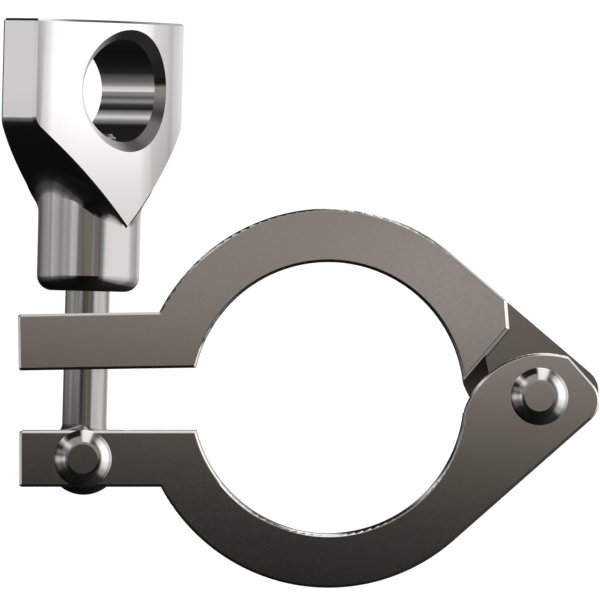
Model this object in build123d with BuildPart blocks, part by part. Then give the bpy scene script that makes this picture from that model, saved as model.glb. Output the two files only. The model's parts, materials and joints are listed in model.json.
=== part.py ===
from build123d import *
import os
from math import acos, asin, atan, cos, degrees, radians, sin, sqrt, tan

# A sanitary hinged clamp: two alike cast jaws that turn on a riveted pin and are
# drawn together over a pair of ferrules by a swinging eye bolt and a wing nut.
# Millimetres. The ferrules' axis is +Z, the hinge is towards +X and the wing nut
# towards +Y. The origin is the centre of the ferrules, halfway through the jaws.

os.makedirs("parts", exist_ok=True)

# Jaws
thickness = 19.0            # along the ferrules' axis
lip_radius = 22.25          # inner edge of the jaws
groove_depth = 4.35         # of the groove that holds the ferrules' flanges
groove_floor = 5.8          # width of its floor
groove_flank = 20.0         # degrees, the wedge angle of each of its sides
rim_wall = 4.4              # outside the groove
edge_round = 0.45           # on every cast edge
groove_radius = lip_radius + groove_depth
outer_radius = groove_radius + rim_wall

# Ears, which the eye bolt crosses
ear_length = 28.25          # from the lips to the ears' ends
ear_inner = 5.3             # from the parting plane to an ear's inner face
ear_outer = 14.5            # from the parting plane to its outer face
ear_slope = 0.45            # degrees, how far each ear leans towards the other
slot_width = 10.0
slot_past_pin = 8.0         # from the bolt's pin to the blind end of the slot
slot_corner = 1.5
ear_reach = lip_radius + ear_length

# Hinge, a half lap: each jaw keeps one lug, half as thick as the jaw
hinge_offset = 12.25        # from the lips to the hinge's pin
lug_outer = 8.4             # from the pin to the lug's outer face
lug_end = 7.85              # from the pin to the lug's end face
lug_corner = 4.0
lug_crown = 7.05            # from the pin to the lug's rounded crown
lug_end_rise = 1.75         # of the end face, past the pin to the crown
lug_start = 2.2             # where the crown leaves the lips, from the parting plane
crown_blend = 2.0           # radius between the crown and the lips
lap_gap = 0.2               # between the two lugs
relief_wall = 11.1          # from the pin to the wall behind the other jaw's lug
relief_chamfer = 3.3        # of that wall's outer corner
hinge_x = lip_radius + hinge_offset

# Rivet pins
pin_radius = 2.75
pin_clearance = 0.05        # all round, in every hole
head_radius = 4.7
head_height = 2.4
head_round = 2.3            # of the dome around the flat on top
head_gap = 0.1              # below the rear head of the hinge pin

# Eye bolt. Its heights are from the bolt's pin
bolt_offset = 17.85         # from the lips to the bolt's pin
bolt_lean = 1.4             # degrees off the ear's normal, towards the ferrules
eye_radius = 6.0
eye_clearance = 0.4         # on each side of the eye, in the slot
eye_edge = 0.6
neck_fillet = 1.9
shank_radius = 3.65
thread_radius = 4.0
thread_above_foot = 0.6     # where the thread starts, above the nut's foot
bolt_in_nut = 25.8          # from the nut's foot to the bolt's tip
tip_chamfer = 0.6
bolt_reach = lip_radius + bolt_offset
pin_depth = (ear_inner + ear_outer) / 2
eye_width = slot_width - 2 * eye_clearance

# Wing nut. Its heights are from its foot
nut_gap = 3.0               # between the upper ear and the nut's foot
nut_turn = 46.5             # degrees, how far its face has turned from the hinge
nut_clearance = 0.05        # all round, on the thread
boss_radius = 8.4
boss_round = 2.5
wing_span = 34.9
wing_end = 7.5              # thickness of the wings at their ends
wing_middle = 17.4          # thickness across the middle
wing_bend = 27.1            # where the flanks meet the end faces
wing_height = 44.3
wing_bend_round = 3.0
flank_angle = 46.0          # degrees between a flank and the bolt
nut_edge = 0.4
blend_reach = 3.1           # how far down the boss the blend under a wing comes
hole_radius = 8.4
hole_chamfer = 1.6
hole_height = 32.9          # to the centre of the cross hole
relief_clearance = 0.3      # around the thread, in the plain mouth
relief_depth = 9.0          # of the plain mouth, which runs down over the shank
nut_foot = pin_depth + ear_outer + nut_gap
bolt_tip = nut_foot + bolt_in_nut
thread_start = nut_foot + thread_above_foot

# The outer face of a lug is tangent to the ring: the angle of its normal from +X
lug_angle = degrees(acos((outer_radius - lug_outer) / hinge_x))
# At the hinge: x along that face towards its free end, y inwards
lug_plane = Plane(
    origin=(hinge_x, 0, 0),
    x_dir=(sin(radians(lug_angle)), cos(radians(lug_angle)), 0),
    z_dir=(0, 0, 1),
)


# The lower ear, square to its faces: x towards the ferrules, y up through the ear
ear_plane = Plane.XY.rotated((0, 0, -ear_slope))
ear_side = Plane(ear_plane.origin, x_dir=ear_plane.x_dir, z_dir=-ear_plane.y_dir)
bolt_foot = ear_plane.from_local_coords((-bolt_reach, -pin_depth, 0))


def ear_point(x, depth):
    """A point of the lower ear, at that depth below the parting plane."""
    return ear_plane.from_local_coords((x, -depth, 0))


def ear_on_circle(radius, depth):
    """Where a face of the lower ear meets a circle about the ferrules' axis."""
    return ear_point(-sqrt(radius**2 - depth**2), depth)


def jaw():
    """One casting, as the lower jaw: its lug is the +Z half of the lap."""
    crown_start = (sqrt(lip_radius**2 - lug_start**2), -lug_start)
    end_top = lug_plane.from_local_coords((lug_end, lug_end_rise, 0))
    end_foot = lug_plane.from_local_coords((lug_end, -lug_outer, 0))
    tangent = Vector(cos(radians(lug_angle)), -sin(radians(lug_angle))) * outer_radius
    front = thickness / 2

    with BuildPart() as casting:
        with BuildSketch(Plane.XY.offset(-front)) as outline:
            with BuildLine():
                ear = Polyline(
                    ear_on_circle(lip_radius, ear_inner),
                    ear_point(-ear_reach, ear_inner),
                    ear_point(-ear_reach, ear_outer),
                    ear_on_circle(outer_radius, ear_outer),
                )
                ThreePointArc(ear @ 1, (0, -outer_radius), tangent)
                Polyline(tangent, end_foot, end_top)
                ThreePointArc(end_top, (hinge_x, lug_crown), crown_start)
                ThreePointArc(crown_start, (0, -lip_radius), ear @ 0)
            make_face()
            fillet(outline.vertices().sort_by_distance(end_foot)[0], lug_corner)
            fillet(outline.vertices().sort_by_distance(crown_start)[0], crown_blend)
            fillet(outline.vertices().sort_by(Axis.X)[:2], edge_round)
        extrude(amount=thickness)

        # Behind the other jaw's lug this one is cut away to half its thickness
        with BuildSketch(lug_plane.offset(-front)):
            reach = outer_radius
            outside = -lug_outer - edge_round
            with BuildLine():
                Polyline(
                    (-relief_wall, reach),
                    (-relief_wall, relief_chamfer - lug_outer),
                    (-relief_wall - relief_chamfer - edge_round, outside),
                    (reach, outside),
                    (reach, reach),
                    close=True,
                )
            make_face()
        extrude(amount=front + lap_gap / 2, mode=Mode.SUBTRACT)
        lap_face = casting.faces().filter_by(Axis.Z).sort_by_distance((hinge_x, 0, 0))[0]
        walls = lap_face.edges().filter_by(GeomType.LINE)
        roots = walls.filter_by(lambda e: lug_plane.to_local_coords(e.center()).X < -lug_end)
        fillet(roots.filter_by(lambda e: e.length < 2 * relief_wall), edge_round)

        # Cast edges, all round both faces
        fillet(casting.edges().group_by(Axis.Z)[0], edge_round)
        fillet(casting.edges().group_by(Axis.Z)[-1], edge_round)

        # The groove closes on the ferrules as a wedge
        mouth = groove_floor / 2 + (groove_radius - lip_radius) * tan(radians(groove_flank))
        with BuildSketch(Plane.XZ):
            with BuildLine():
                Polyline(
                    (0, -mouth),
                    (lip_radius, -mouth),
                    (groove_radius, -groove_floor / 2),
                    (groove_radius, groove_floor / 2),
                    (lip_radius, mouth),
                    (0, mouth),
                    close=True,
                )
            make_face()
        revolve(axis=Axis.Z, mode=Mode.SUBTRACT)

        # The slot that the bolt swings into, open at the ear's end
        with BuildSketch(ear_side.offset(ear_inner - edge_round)) as slot:
            with Locations((slot_past_pin - bolt_reach, 0)):
                Rectangle(ear_reach, slot_width, align=(Align.MAX, Align.CENTER))
            fillet(slot.vertices().group_by(Axis.X)[-1], slot_corner)
        extrude(amount=ear_outer - ear_inner + 2 * edge_round, mode=Mode.SUBTRACT)

        with Locations((hinge_x, 0, 0)):
            Hole(pin_radius + pin_clearance)
    return casting.part


def rivet(seat_low, seat_high):
    """A pin along Z with a domed head on the seats at each end."""
    low = seat_low - head_height
    high = seat_high + head_height
    with BuildPart() as pin:
        with BuildSketch(Plane.XZ) as half:
            with BuildLine():
                Polyline(
                    (0, low),
                    (head_radius, low),
                    (head_radius, seat_low),
                    (pin_radius, seat_low),
                    (pin_radius, seat_high),
                    (head_radius, seat_high),
                    (head_radius, high),
                    (0, high),
                    close=True,
                )
            make_face()
            fillet(half.vertices().sort_by_distance((head_radius, low))[0], head_round)
            fillet(half.vertices().sort_by_distance((head_radius, high))[0], head_round)
        revolve(axis=Axis.Z)
    return pin.part


casting = jaw()

with BuildPart() as lower_half:
    add(casting)
    with Locations(bolt_foot):
        Hole(pin_radius + pin_clearance)

# The same casting turned over, so that the laps face each other
with BuildPart() as upper_half:
    add(casting.rotate(Axis.X, 180))

with BuildPart() as hinge_pin:
    with Locations((hinge_x, 0, 0)):
        add(rivet(-thickness / 2 - head_gap, thickness / 2))

with BuildPart() as bolt_pin:
    with Locations(bolt_foot):
        add(rivet(-thickness / 2, thickness / 2))

# On the bolt's pin: x towards the ferrules, y up the bolt, z along the pin
bolt_side = Plane(bolt_foot, x_dir=ear_plane.x_dir).rotated((0, 0, -bolt_lean))
bolt_axis = Axis(bolt_side.origin, bolt_side.y_dir)

with BuildPart() as eye_bolt:
    ball_top = sqrt(eye_radius**2 - shank_radius**2)
    with BuildSketch(bolt_side):
        with BuildLine():
            ThreePointArc((0, -eye_radius), (eye_radius, 0), (shank_radius, ball_top))
            Polyline(
                (shank_radius, ball_top),
                (shank_radius, thread_start - thread_radius + shank_radius),
                (thread_radius, thread_start),
                (thread_radius, bolt_tip - tip_chamfer),
                (thread_radius - tip_chamfer, bolt_tip),
                (0, bolt_tip),
                (0, -eye_radius),
            )
        make_face()
    revolve(axis=bolt_axis)
    neck_centre = bolt_side.from_local_coords((0, ball_top))
    fillet(eye_bolt.edges().sort_by_distance(neck_centre)[0], neck_fillet)
    for cheek in (bolt_side, -bolt_side):
        with BuildSketch(cheek.offset(eye_width / 2)):
            Rectangle(2 * eye_radius, 2 * eye_radius)
        extrude(amount=eye_radius, mode=Mode.SUBTRACT)
    fillet(eye_bolt.faces().filter_by(Axis.Z).edges(), eye_edge)
    with BuildSketch(bolt_side):
        Circle(pin_radius + pin_clearance)
    extrude(amount=eye_radius, both=True, mode=Mode.SUBTRACT)

# At the nut's foot: x along the wings, y up the bolt, z out of the front face
turn = radians(nut_turn)
nut_front = Plane(
    origin=bolt_side.from_local_coords((0, nut_foot, 0)),
    x_dir=bolt_side.x_dir * cos(turn) - bolt_side.z_dir * sin(turn),
    z_dir=bolt_side.x_dir * sin(turn) + bolt_side.z_dir * cos(turn),
)
nut_plan = Plane(origin=nut_front.origin, x_dir=nut_front.x_dir, z_dir=nut_front.y_dir)

half_span = wing_span / 2
half_end = wing_end / 2
half_middle = wing_middle / 2
wing_foot = wing_bend - half_span / tan(radians(flank_angle))

# The bowed faces are arcs in plan, of this radius and this far behind the bolt
bow_centre = (half_span**2 - half_middle**2 + half_end**2) / (2 * (half_middle - half_end))
bow_radius = bow_centre + half_middle


def wing_blend(side):
    """The hollow blend between the boss and the flank under one wing. It is widest
    below the wing, and dies out where the boss meets the bowed faces."""
    inside = boss_radius - 1
    crossing = 0.12
    with BuildPart() as blend:
        for angle in (-84, -75, -65, -52, -35, -18, 0, 18, 35, 52, 65, 75, 84):
            # A section through the bolt's axis, this far round from the wing
            bearing = radians(angle)
            outwards = nut_front.x_dir * side * cos(bearing) + nut_front.z_dir * sin(bearing)
            section = Plane(
                nut_front.origin, x_dir=outwards, z_dir=outwards.cross(nut_front.y_dir)
            )
            across = bow_centre * cos(bearing)
            bow = sqrt(bow_radius**2 - across**2) - bow_centre * abs(sin(bearing))
            slope = atan(cos(bearing) / tan(radians(flank_angle)))
            crease = wing_foot + boss_radius * tan(slope)

            # It leaves the boss smoothly and ends just inside the flank or its edge
            reach = blend_reach * min(1, cos(bearing) / cos(radians(55)))
            along = min(0.95 * reach, (bow - 0.1 - boss_radius) / cos(slope))
            out = along * cos(slope) - crossing * sin(slope)
            rise = reach + along * sin(slope) + crossing * cos(slope)
            radius = (out**2 + rise**2) / (2 * out)
            half_turn = asin(rise / radius) / 2
            low = crease - reach
            with BuildSketch(section):
                with BuildLine():
                    ThreePointArc(
                        (boss_radius, low),
                        (
                            boss_radius + radius * (1 - cos(half_turn)),
                            low + radius * sin(half_turn),
                        ),
                        (boss_radius + out, low + rise),
                    )
                    Polyline(
                        (boss_radius + out, low + rise),
                        (inside, low + rise),
                        (inside, low),
                        (boss_radius, low),
                    )
                make_face()
        loft()
    return blend.part


blends = [wing_blend(side) for side in (1, -1)]

with BuildPart() as wing_nut:
    # Wings: a lens in plan, cut to a pentagon across
    with BuildSketch(nut_plan.offset(wing_foot)):
        with BuildLine():
            ThreePointArc((-half_span, half_end), (0, half_middle), (half_span, half_end))
            Line((half_span, half_end), (half_span, -half_end))
            ThreePointArc((half_span, -half_end), (0, -half_middle), (-half_span, -half_end))
            Line((-half_span, -half_end), (-half_span, half_end))
        make_face()
    extrude(amount=wing_height - wing_foot)
    with BuildSketch(nut_front) as pentagon:
        with BuildLine():
            Polyline(
                (-half_span, wing_height),
                (-half_span, wing_bend),
                (0, wing_foot),
                (half_span, wing_bend),
                (half_span, wing_height),
                close=True,
            )
        make_face()
        bends = pentagon.vertices().filter_by(
            lambda v: abs(nut_front.to_local_coords(v).Y - wing_bend) < nut_edge
        )
        fillet(bends, wing_bend_round)
    extrude(amount=half_middle, both=True, mode=Mode.INTERSECT)

    rim = wing_nut.edges().group_by(bolt_axis)[-1]
    corners = wing_nut.edges().filter_by(bolt_axis)
    bent_corners = wing_nut.edges().filter_by(GeomType.BSPLINE)
    chamfer(rim + corners + bent_corners, nut_edge)

    with BuildSketch(nut_plan):
        Circle(boss_radius)
    extrude(amount=wing_bend)
    fillet(wing_nut.edges().group_by(bolt_axis)[0], boss_round)
    add(blends)

    # Cross hole for a bar, chamfered where it breaks through the bowed faces
    with BuildSketch(nut_front):
        with Locations((0, hole_height)):
            Circle(hole_radius)
    extrude(amount=wing_middle, both=True, mode=Mode.SUBTRACT)
    mouths = wing_nut.edges().filter_by(GeomType.BSPLINE).filter_by(lambda e: e.is_closed)
    chamfer(mouths, hole_chamfer)

    # Threaded hole, with a plain mouth that passes over the shank
    with BuildSketch(nut_plan):
        Circle(thread_radius + nut_clearance)
    extrude(amount=hole_height, mode=Mode.SUBTRACT)
    with BuildSketch(nut_plan):
        Circle(thread_radius + relief_clearance)
    extrude(amount=relief_depth, mode=Mode.SUBTRACT)

lower_half.part.label = "lower_half"
upper_half.part.label = "upper_half"
hinge_pin.part.label = "hinge_pin"
bolt_pin.part.label = "bolt_pin"
eye_bolt.part.label = "eye_bolt"
wing_nut.part.label = "wing_nut"

export_step(lower_half.part, "parts/lower_half.step")
export_step(upper_half.part, "parts/upper_half.step")
export_step(hinge_pin.part, "parts/hinge_pin.step")
export_step(bolt_pin.part, "parts/bolt_pin.step")
export_step(eye_bolt.part, "parts/eye_bolt.step")
export_step(wing_nut.part, "parts/wing_nut.step")
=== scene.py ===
import json
import math

import bpy
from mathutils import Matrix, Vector


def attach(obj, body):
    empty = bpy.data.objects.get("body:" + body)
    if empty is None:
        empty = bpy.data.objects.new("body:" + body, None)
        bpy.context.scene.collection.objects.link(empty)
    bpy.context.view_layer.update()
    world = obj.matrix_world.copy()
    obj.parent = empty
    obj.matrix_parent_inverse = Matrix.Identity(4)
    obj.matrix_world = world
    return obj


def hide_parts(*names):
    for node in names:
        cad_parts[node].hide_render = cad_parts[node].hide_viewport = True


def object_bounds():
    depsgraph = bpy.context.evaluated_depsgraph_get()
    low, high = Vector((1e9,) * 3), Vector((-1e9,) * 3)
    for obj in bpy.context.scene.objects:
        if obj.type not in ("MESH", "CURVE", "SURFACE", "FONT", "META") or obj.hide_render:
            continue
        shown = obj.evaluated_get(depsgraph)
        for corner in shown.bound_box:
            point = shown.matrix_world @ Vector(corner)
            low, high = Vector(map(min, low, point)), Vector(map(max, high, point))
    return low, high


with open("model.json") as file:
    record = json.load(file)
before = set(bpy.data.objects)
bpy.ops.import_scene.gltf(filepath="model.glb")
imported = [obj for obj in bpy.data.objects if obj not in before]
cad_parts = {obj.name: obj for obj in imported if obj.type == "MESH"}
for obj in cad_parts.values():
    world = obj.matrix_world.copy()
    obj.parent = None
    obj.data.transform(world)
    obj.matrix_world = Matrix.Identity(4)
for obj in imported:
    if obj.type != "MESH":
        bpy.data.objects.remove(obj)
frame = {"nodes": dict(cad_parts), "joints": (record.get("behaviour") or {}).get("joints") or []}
nodes = frame["nodes"]
joints = {joint["name"]: joint for joint in frame["joints"]}
cad_low, cad_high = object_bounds()

# Jaws: two like castings in stainless steel, poured in an investment mould,
# ground flat on both faces and tumbled bright at their edges. The lapped faces
# of the hinge and the wedge groove carry painted shade: darker and near black.
cast_tints = ((0.592, 0.578, 0.563), (0.617, 0.602, 0.587))
cast_roughness = (0.11, 0.17)
cloud_scale = 60.0
cloud_edges = (0.3, 0.7)
skin_scale = 1400.0
skin_strength = 0.004
skin_depth = 0.0001
groove_radius = 0.02675
groove_half_width = 0.0047
# Painted shade: the wedge groove is coloured near black, as shade in the recess.
groove_painted_shade = (0.035, 0.032, 0.030)
lap_half_gap = 0.0004
# Painted shade: the lap faces between the jaws are coloured darker, as shade.
lap_painted_shade = (0.310, 0.295, 0.283)
level_from = 0.8


def steel_finish(name, tints, roughness):
    """Stainless steel, cloudy in colour, with a faint skin of small waves."""
    finish = bpy.data.materials.new(name)
    finish.use_nodes = True
    tree = finish.node_tree
    steel = tree.nodes["Principled BSDF"]
    steel.inputs["Metallic"].default_value = 1.0
    steel.inputs["IOR"].default_value = 1.5
    place = tree.nodes.new("ShaderNodeTexCoord")

    clouding = tree.nodes.new("ShaderNodeTexNoise")
    clouding.inputs["Scale"].default_value = cloud_scale
    clouding.inputs["Detail"].default_value = 3.0
    tree.links.new(place.outputs["Object"], clouding.inputs["Vector"])
    tint = tree.nodes.new("ShaderNodeValToRGB")
    for element, edge, colour in zip(tint.color_ramp.elements, cloud_edges, tints):
        element.position = edge
        element.color = (*colour, 1.0)
    tree.links.new(clouding.outputs["Fac"], tint.inputs["Fac"])
    tree.links.new(tint.outputs["Color"], steel.inputs["Base Color"])

    skin = tree.nodes.new("ShaderNodeTexNoise")
    skin.inputs["Scale"].default_value = skin_scale
    skin.inputs["Detail"].default_value = 3.0
    tree.links.new(place.outputs["Object"], skin.inputs["Vector"])
    sheen = tree.nodes.new("ShaderNodeMapRange")
    sheen.inputs["To Min"].default_value = roughness[0]
    sheen.inputs["To Max"].default_value = roughness[1]
    tree.links.new(skin.outputs["Fac"], sheen.inputs["Value"])
    tree.links.new(sheen.outputs["Result"], steel.inputs["Roughness"])

    waves = tree.nodes.new("ShaderNodeBump")
    waves.inputs["Strength"].default_value = skin_strength
    waves.inputs["Distance"].default_value = skin_depth
    tree.links.new(skin.outputs["Fac"], waves.inputs["Height"])
    tree.links.new(waves.outputs["Normal"], steel.inputs["Normal"])
    return finish


def give_finish(piece, finish):
    """The finish as the piece's only material."""
    piece.data.materials.clear()
    piece.data.materials.append(finish)


def along_axes(tree, coordinates):
    """X, Y and Z of one kind of coordinates, each on a socket of its own."""
    place = tree.nodes.new("ShaderNodeTexCoord")
    split = tree.nodes.new("ShaderNodeSeparateXYZ")
    tree.links.new(place.outputs[coordinates], split.inputs["Vector"])
    return split.outputs


def math_node(tree, operation, first, second=0.0):
    """One sum on a socket and a number or another socket."""
    node = tree.nodes.new("ShaderNodeMath")
    node.operation = operation
    tree.links.new(first, node.inputs[0])
    if isinstance(second, float):
        node.inputs[1].default_value = second
    else:
        tree.links.new(second, node.inputs[1])
    return node.outputs["Value"]


def painted_over(finish, place_mask, colour):
    """Another colour where the mask is 1, laid over what the finish has so far."""
    tree = finish.node_tree
    tint_socket = tree.nodes["Principled BSDF"].inputs["Base Color"]
    mix = tree.nodes.new("ShaderNodeMix")
    mix.data_type = "RGBA"
    mix.inputs["B"].default_value = (*colour, 1.0)
    tree.links.new(place_mask, mix.inputs["Factor"])
    tree.links.new(tint_socket.links[0].from_socket, mix.inputs["A"])
    tree.links.new(mix.outputs["Result"], tint_socket)


cast_steel = steel_finish("cast_steel", cast_tints, cast_roughness)
tree = cast_steel.node_tree
spot = along_axes(tree, "Object")
x_squared = math_node(tree, "MULTIPLY", spot["X"], spot["X"])
y_squared = math_node(tree, "MULTIPLY", spot["Y"], spot["Y"])
from_axis = math_node(tree, "SQRT", math_node(tree, "ADD", x_squared, y_squared))
from_middle = math_node(tree, "ABSOLUTE", spot["Z"])
in_reach = math_node(tree, "LESS_THAN", from_axis, groove_radius)
in_width = math_node(tree, "LESS_THAN", from_middle, groove_half_width)
groove_shade_mask = math_node(tree, "MULTIPLY", in_reach, in_width)
facing = along_axes(tree, "Normal")
level = math_node(tree, "MULTIPLY", facing["Z"], facing["Z"])
level = math_node(tree, "GREATER_THAN", level, level_from)
near_middle = math_node(tree, "LESS_THAN", from_middle, lap_half_gap)
lap_shade_mask = math_node(tree, "MULTIPLY", near_middle, level)
# Painted shade laid over the cast steel: the groove near black, the lap faces darker.
painted_over(cast_steel, groove_shade_mask, groove_painted_shade)
painted_over(cast_steel, lap_shade_mask, lap_painted_shade)
for jaw in ("lower_half", "upper_half"):
    give_finish(nodes[jaw], cast_steel)

# Rivets: two turned pins of stainless steel, pressed into the lower jaw, with
# a flat left by the lathe in the middle of each domed head.
pin_tints = ((0.570, 0.558, 0.545), (0.600, 0.587, 0.575))
pin_roughness = (0.10, 0.16)
turned_steel = steel_finish("turned_steel", pin_tints, pin_roughness)
for pin in ("hinge_pin", "bolt_pin"):
    give_finish(nodes[pin], turned_steel)

# Eye bolt: turned from stainless bar, with the eye milled flat on both sides
# and a coarse thread cut from just above the nut's foot to the tip.
bolt_foot = Vector(joints["bolt_swing"]["pos_m"])
bolt_up = Vector(joints["nut_travel"]["axis"]).normalized()
bolt_side = bolt_up.cross(Vector((0.0, 0.0, 1.0)))
bolt_tilt = math.atan2(bolt_up.x, bolt_up.y)
crest_radius = 0.0040
root_radius = 0.00335
pitch = 0.00125
root_part = 0.12
flank_part = 0.76
cut_start = 0.0281
bolt_tip = 0.0532
tip_bevel = 0.0006
columns = 96
rings = 100
merge_reach = 0.000001
smooth_below = math.radians(24)
# Painted shade: the bolt's steel is coloured about half as bright as the other steel.
painted_shade_bar_tints = ((0.285, 0.275, 0.262), (0.315, 0.305, 0.292))
bar_roughness = (0.09, 0.14)
streak_tint = (0.20, 0.19, 0.18)
streak_scale = (1500.0, 12.0, 1500.0)
streak_edges = (0.45, 0.75)

bpy.ops.object.select_all(action="DESELECT")
nodes["eye_bolt"].select_set(True)
bpy.context.view_layer.objects.active = nodes["eye_bolt"]
bpy.ops.object.duplicate()
eye_bolt = bpy.context.object
eye_bolt.name = "threaded_eye_bolt"
bpy.ops.object.mode_set(mode="EDIT")
bpy.ops.mesh.select_all(action="SELECT")
bpy.ops.mesh.remove_doubles(threshold=merge_reach)
bpy.ops.mesh.bisect(
    plane_co=bolt_foot + bolt_up * cut_start, plane_no=bolt_up, clear_outer=True
)
bpy.ops.object.mode_set(mode="OBJECT")

bpy.ops.object.select_all(action="DESELECT")
bpy.ops.mesh.primitive_cylinder_add(
    vertices=columns,
    radius=crest_radius,
    depth=bolt_tip - cut_start,
    end_fill_type="NGON",
    location=bolt_foot + bolt_up * (cut_start + bolt_tip) / 2,
    rotation=(math.radians(-90), 0.0, -bolt_tilt),
)
thread = bpy.context.object
bpy.ops.object.transform_apply(location=True, rotation=True, scale=True)
bpy.ops.object.mode_set(mode="EDIT")
bpy.ops.mesh.select_mode(type="EDGE")
bpy.ops.mesh.select_all(action="DESELECT")
bpy.ops.object.mode_set(mode="OBJECT")
for edge in thread.data.edges:
    low, high = (thread.data.vertices[number].co for number in edge.vertices)
    edge.select = abs((high - low).dot(bolt_up)) > crest_radius
bpy.ops.object.mode_set(mode="EDIT")
bpy.ops.mesh.subdivide(number_cuts=rings)
bpy.ops.object.mode_set(mode="OBJECT")

for vertex in thread.data.vertices:
    out = vertex.co - bolt_foot
    height = out.dot(bolt_up)
    out -= bolt_up * height
    round_bolt = math.atan2(out.z, out.dot(bolt_side)) / (2 * math.pi)
    from_root = abs((height / pitch - round_bolt) % 1.0 - 0.5) * 2
    crest = min(1.0, max(0.0, (from_root - root_part) / flank_part))
    run_out = min(1.0, (height - cut_start) / pitch)
    radius = crest_radius - (crest_radius - root_radius) * (1 - crest) * run_out
    radius = min(radius, crest_radius + bolt_tip - tip_bevel - height)
    vertex.co = bolt_foot + bolt_up * height + out.normalized() * radius

# The disc at the thread's lower end goes, and the open rings are bridged.
bpy.ops.object.mode_set(mode="EDIT")
bpy.ops.mesh.select_mode(type="FACE")
bpy.ops.mesh.select_all(action="DESELECT")
bpy.ops.object.mode_set(mode="OBJECT")
for face in thread.data.polygons:
    at_start = (face.center - bolt_foot).dot(bolt_up) < cut_start + pitch / 100
    face.select = at_start and face.normal.dot(bolt_up) < -0.9
bpy.ops.object.mode_set(mode="EDIT")
bpy.ops.mesh.delete(type="ONLY_FACE")
bpy.ops.object.mode_set(mode="OBJECT")

eye_bolt.select_set(True)
bpy.context.view_layer.objects.active = eye_bolt
bpy.ops.object.join()
bpy.ops.object.mode_set(mode="EDIT")
bpy.ops.mesh.select_mode(type="EDGE")
bpy.ops.mesh.select_all(action="DESELECT")
bpy.ops.mesh.select_non_manifold(
    extend=False,
    use_wire=False,
    use_multi_face=False,
    use_non_contiguous=False,
    use_verts=False,
)
bpy.ops.mesh.bridge_edge_loops()
bpy.ops.mesh.customdata_custom_splitnormals_clear()
bpy.ops.mesh.select_all(action="SELECT")
bpy.ops.mesh.normals_make_consistent(inside=False)
bpy.ops.object.mode_set(mode="OBJECT")
bpy.ops.object.shade_smooth_by_angle(angle=smooth_below)

bar_steel = steel_finish("bar_steel", painted_shade_bar_tints, bar_roughness)
tree = bar_steel.node_tree
place = tree.nodes.new("ShaderNodeTexCoord")
drawn = tree.nodes.new("ShaderNodeMapping")
drawn.inputs["Scale"].default_value = streak_scale
streaks = tree.nodes.new("ShaderNodeTexNoise")
streaks.inputs["Scale"].default_value = 1.0
streaks.inputs["Detail"].default_value = 2.0
deep = tree.nodes.new("ShaderNodeMapRange")
deep.inputs["From Min"].default_value = streak_edges[0]
deep.inputs["From Max"].default_value = streak_edges[1]
tree.links.new(place.outputs["Object"], drawn.inputs["Vector"])
tree.links.new(drawn.outputs["Vector"], streaks.inputs["Vector"])
tree.links.new(streaks.outputs["Fac"], deep.inputs["Value"])
painted_over(bar_steel, deep.outputs["Result"], streak_tint)
give_finish(eye_bolt, bar_steel)
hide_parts("eye_bolt")
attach(eye_bolt, "swing_bolt")

# Wing nut: a stainless casting, milled to a bowed face on each side, drilled
# through with a chamfered hole and buffed bright, with painted shade on its boss.
nut_tints = ((0.610, 0.600, 0.588), (0.630, 0.620, 0.608))
nut_roughness = (0.05, 0.08)
# Painted shade: the boss end of the nut is coloured darker than its wings.
boss_painted_shade = (0.385, 0.374, 0.360)
boss_top = 0.028
wings_clear = 0.054
polished_steel = steel_finish("polished_steel", nut_tints, nut_roughness)
tree = polished_steel.node_tree
boss_shade_mask = tree.nodes.new("ShaderNodeMapRange")
boss_shade_mask.interpolation_type = "SMOOTHSTEP"
boss_shade_mask.inputs["From Min"].default_value = boss_top
boss_shade_mask.inputs["From Max"].default_value = wings_clear
boss_shade_mask.inputs["To Min"].default_value = 1.0
boss_shade_mask.inputs["To Max"].default_value = 0.0
tree.links.new(along_axes(tree, "Object")["Y"], boss_shade_mask.inputs["Value"])
painted_over(polished_steel, boss_shade_mask.outputs["Result"], boss_painted_shade)
give_finish(nodes["wing_nut"], polished_steel)

# Camera: straight above the clamp and far off, with a long lens, and turned
# by less than half a degree so that the lower ear lies level.
camera_rise = 3.0
view_middle = Vector((-0.004506, 0.016076, 0.004))
view_turn = math.radians(-0.45)
view_width = 0.0982
sensor_width = 0.036
bpy.ops.object.camera_add(
    location=view_middle + Vector((0.0, 0.0, camera_rise)),
    rotation=(0.0, 0.0, view_turn),
)
camera = bpy.context.object
camera.data.lens = 1000 * sensor_width * camera_rise / view_width
camera.data.clip_start = 0.1
camera.data.clip_end = 100.0
bpy.context.scene.camera = camera

# Floor: a wide pale sheet that the clamp lies on. It shows plain white, and
# the steel doesn't mirror it.
floor_width = 60.0
paper_grey = 0.25
bpy.ops.mesh.primitive_plane_add(size=floor_width, location=(0.0, 0.0, cad_low.z))
floor = bpy.context.object
floor.name = "floor"
floor.visible_glossy = False
pale = bpy.data.materials.new("pale_floor")
pale.use_nodes = True
tree = pale.node_tree
tree.nodes.clear()
out = tree.nodes.new("ShaderNodeOutputMaterial")
paper = tree.nodes.new("ShaderNodeBsdfDiffuse")
paper.inputs["Color"].default_value = (paper_grey, paper_grey, paper_grey, 1.0)
glow = tree.nodes.new("ShaderNodeEmission")
path = tree.nodes.new("ShaderNodeLightPath")
both = tree.nodes.new("ShaderNodeAddShader")
tree.links.new(path.outputs["Is Camera Ray"], glow.inputs["Strength"])
tree.links.new(paper.outputs["BSDF"], both.inputs[0])
tree.links.new(glow.outputs["Emission"], both.inputs[1])
tree.links.new(both.outputs["Shader"], out.inputs["Surface"])
floor.data.materials.append(pale)

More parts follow.
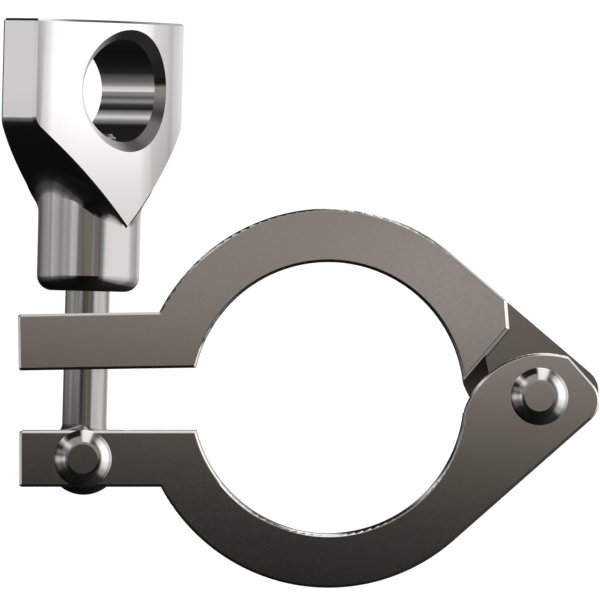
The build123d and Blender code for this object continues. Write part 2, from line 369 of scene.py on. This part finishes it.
# Overhead card: a warm grey board above the clamp, dark towards the lower jaw
# and light towards the wing nut, with a paler patch above the hinge's side.
# The flat faces mirror it.
card_width = 0.22
card_height = 0.35
card_turn = math.radians(8.0)
card_fade = 0.040
card_stops = (
    (0.12, (0.014, 0.012, 0.010)),
    (0.36, (0.082, 0.070, 0.060)),
    (0.52, (0.240, 0.210, 0.186)),
    (0.68, (0.435, 0.390, 0.345)),
    (0.92, (0.370, 0.335, 0.310)),
)
patch_place = (0.024, 0.019, 0.0)
patch_radius = 0.028
patch_light = (0.27, 0.27, 0.275)
bpy.ops.mesh.primitive_plane_add(size=card_width, location=(0.0, 0.0, card_height))
card = bpy.context.object
card.name = "overhead_card"
card.visible_camera = False
card.visible_diffuse = False
board = bpy.data.materials.new("overhead_board")
board.use_nodes = True
tree = board.node_tree
tree.nodes.clear()
out = tree.nodes.new("ShaderNodeOutputMaterial")
glow = tree.nodes.new("ShaderNodeEmission")
place = tree.nodes.new("ShaderNodeTexCoord")
turn = tree.nodes.new("ShaderNodeMapping")
turn.inputs["Rotation"].default_value = (0.0, 0.0, card_turn)
split = tree.nodes.new("ShaderNodeSeparateXYZ")
span = tree.nodes.new("ShaderNodeMapRange")
span.inputs["From Min"].default_value = -card_fade
span.inputs["From Max"].default_value = card_fade
shade = tree.nodes.new("ShaderNodeValToRGB")
ramp = shade.color_ramp
ramp.interpolation = "B_SPLINE"
ramp.elements.remove(ramp.elements[1])
ramp.elements[0].position = card_stops[0][0]
ramp.elements[0].color = (*card_stops[0][1], 1.0)
for position, colour in card_stops[1:]:
    ramp.elements.new(position).color = (*colour, 1.0)
aim = tree.nodes.new("ShaderNodeMapping")
aim.vector_type = "TEXTURE"
aim.inputs["Location"].default_value = patch_place
aim.inputs["Scale"].default_value = (patch_radius, patch_radius, patch_radius)
patch = tree.nodes.new("ShaderNodeTexGradient")
patch.gradient_type = "QUADRATIC_SPHERE"
brighter = tree.nodes.new("ShaderNodeMix")
brighter.data_type = "RGBA"
brighter.blend_type = "ADD"
brighter.inputs["B"].default_value = (*patch_light, 1.0)
tree.links.new(place.outputs["Object"], turn.inputs["Vector"])
tree.links.new(turn.outputs["Vector"], split.inputs["Vector"])
tree.links.new(split.outputs["Y"], span.inputs["Value"])
tree.links.new(span.outputs["Result"], shade.inputs["Fac"])
tree.links.new(place.outputs["Object"], aim.inputs["Vector"])
tree.links.new(aim.outputs["Vector"], patch.inputs["Vector"])
tree.links.new(patch.outputs["Fac"], brighter.inputs["Factor"])
tree.links.new(shade.outputs["Color"], brighter.inputs["A"])
tree.links.new(brighter.outputs["Result"], glow.inputs["Color"])
tree.links.new(glow.outputs["Emission"], out.inputs["Surface"])
card.data.materials.append(board)

# Studio: a white wall to the right, strip lights to the left, lamps and a dim
# window beyond the nut, and black cloth below. Only the steel sees it, and each
# piece mirrors the studio and not its neighbours.
room_strength = 2.0
window_sill = 0.25
window_full = 0.45
studio = bpy.data.worlds.new("studio")
bpy.context.scene.world = studio
studio.use_nodes = True
tree = studio.node_tree
tree.nodes.clear()
out = tree.nodes.new("ShaderNodeOutputWorld")


def bearing(tree, across, ahead):
    """How far round a direction lies: -180 to 180 degrees, given as 0 to 1."""
    part = tree.nodes.new("ShaderNodeMapRange")
    part.inputs["From Min"].default_value = -math.pi
    part.inputs["From Max"].default_value = math.pi
    angle = math_node(tree, "ARCTAN2", across, ahead)
    tree.links.new(angle, part.inputs["Value"])
    return part.outputs["Result"]


def light_band(tree, bearing_socket, stops):
    """A band of light round the room, with its level at each bearing in degrees."""
    band = tree.nodes.new("ShaderNodeValToRGB")
    ramp = band.color_ramp
    ramp.interpolation = "EASE"
    ramp.elements.remove(ramp.elements[1])
    ramp.elements[0].position = 0.0
    ramp.elements[0].color = (stops[0][1], stops[0][1], stops[0][1], 1.0)
    for degrees, level in stops[1:]:
        stop = ramp.elements.new((degrees + 180.0) / 360.0)
        stop.color = (level, level, level, 1.0)
    tree.links.new(bearing_socket, band.inputs["Fac"])
    return band.outputs["Color"]


def mixed(tree, way, first, second):
    """Two bands of light, added or multiplied."""
    mix = tree.nodes.new("ShaderNodeMix")
    mix.data_type = "RGBA"
    mix.blend_type = way
    mix.inputs["Factor"].default_value = 1.0
    tree.links.new(first, mix.inputs["A"])
    tree.links.new(second, mix.inputs["B"])
    return mix.outputs["Result"]


towards = along_axes(tree, "Generated")
round_the_clamp = bearing(tree, towards["Y"], towards["X"])
over_the_bolt = bearing(tree, towards["X"], towards["Z"])
walls = light_band(
    tree,
    round_the_clamp,
    (
        (-180, 1.05),
        (-176, 0.80),
        (-172, 0.34),
        (-166, 0.17),
        (-159, 0.12),
        (-152, 0.03),
        (-140, 0.01),
        (-100, 0.00),
        (-52, 0.01),
        (-34, 0.30),
        (-16, 0.70),
        (0, 1.00),
        (30, 1.00),
        (46, 0.60),
        (58, 0.12),
        (66, 0.05),
        (100, 0.00),
        (150, 0.00),
        (156, 0.04),
        (162, 0.36),
        (168, 0.13),
        (174, 0.36),
        (177, 0.90),
    ),
)
strips = light_band(
    tree,
    over_the_bolt,
    (
        (-180, 0.06),
        (-142, 0.09),
        (-130, 0.22),
        (-118, 0.33),
        (-104, 0.42),
        (-97, 0.34),
        (-90, 0.57),
        (-78, 0.48),
        (-66, 0.34),
        (-56, 0.46),
        (-46, 0.40),
        (-38, 0.66),
        (-29, 0.60),
        (-23, 0.22),
        (0, 0.12),
        (25, 0.12),
        (32, 0.28),
        (36, 0.60),
        (41, 0.85),
        (60, 0.90),
        (100, 0.90),
        (108, 0.72),
        (115, 0.52),
        (126, 0.45),
        (133, 0.36),
        (139, 0.45),
        (150, 0.52),
        (176, 0.40),
    ),
)
lamps = light_band(
    tree,
    round_the_clamp,
    (
        (-180, 0.00),
        (58, 0.02),
        (64, 0.08),
        (73, 0.70),
        (89, 0.70),
        (95, 0.01),
        (126, 0.01),
        (132, 0.16),
        (138, 0.52),
        (144, 0.20),
        (150, 0.01),
        (176, 0.00),
    ),
)
window = light_band(
    tree,
    round_the_clamp,
    ((-180, 0.0), (90, 0.0), (100, 0.2), (132, 0.2), (152, 0.1), (168, 0.0)),
)
above_sill = tree.nodes.new("ShaderNodeMapRange")
above_sill.inputs["From Min"].default_value = window_sill
above_sill.inputs["From Max"].default_value = window_full
tree.links.new(towards["Z"], above_sill.inputs["Value"])
window = mixed(tree, "MULTIPLY", window, above_sill.outputs["Result"])
lit = mixed(tree, "ADD", mixed(tree, "MULTIPLY", walls, strips), lamps)
lit = mixed(tree, "ADD", lit, window)
room = tree.nodes.new("ShaderNodeBackground")
room.inputs["Strength"].default_value = room_strength
tree.links.new(lit, room.inputs["Color"])
white = tree.nodes.new("ShaderNodeBackground")
white.inputs["Color"].default_value = (1.0, 1.0, 1.0, 1.0)
path = tree.nodes.new("ShaderNodeLightPath")
seen = tree.nodes.new("ShaderNodeMixShader")
tree.links.new(path.outputs["Is Camera Ray"], seen.inputs["Fac"])
tree.links.new(room.outputs["Background"], seen.inputs[1])
tree.links.new(white.outputs["Background"], seen.inputs[2])
tree.links.new(seen.outputs["Shader"], out.inputs["Surface"])
for piece in (*nodes.values(), eye_bolt):
    piece.visible_glossy = False

bpy.context.scene.view_settings.view_transform = "Standard"
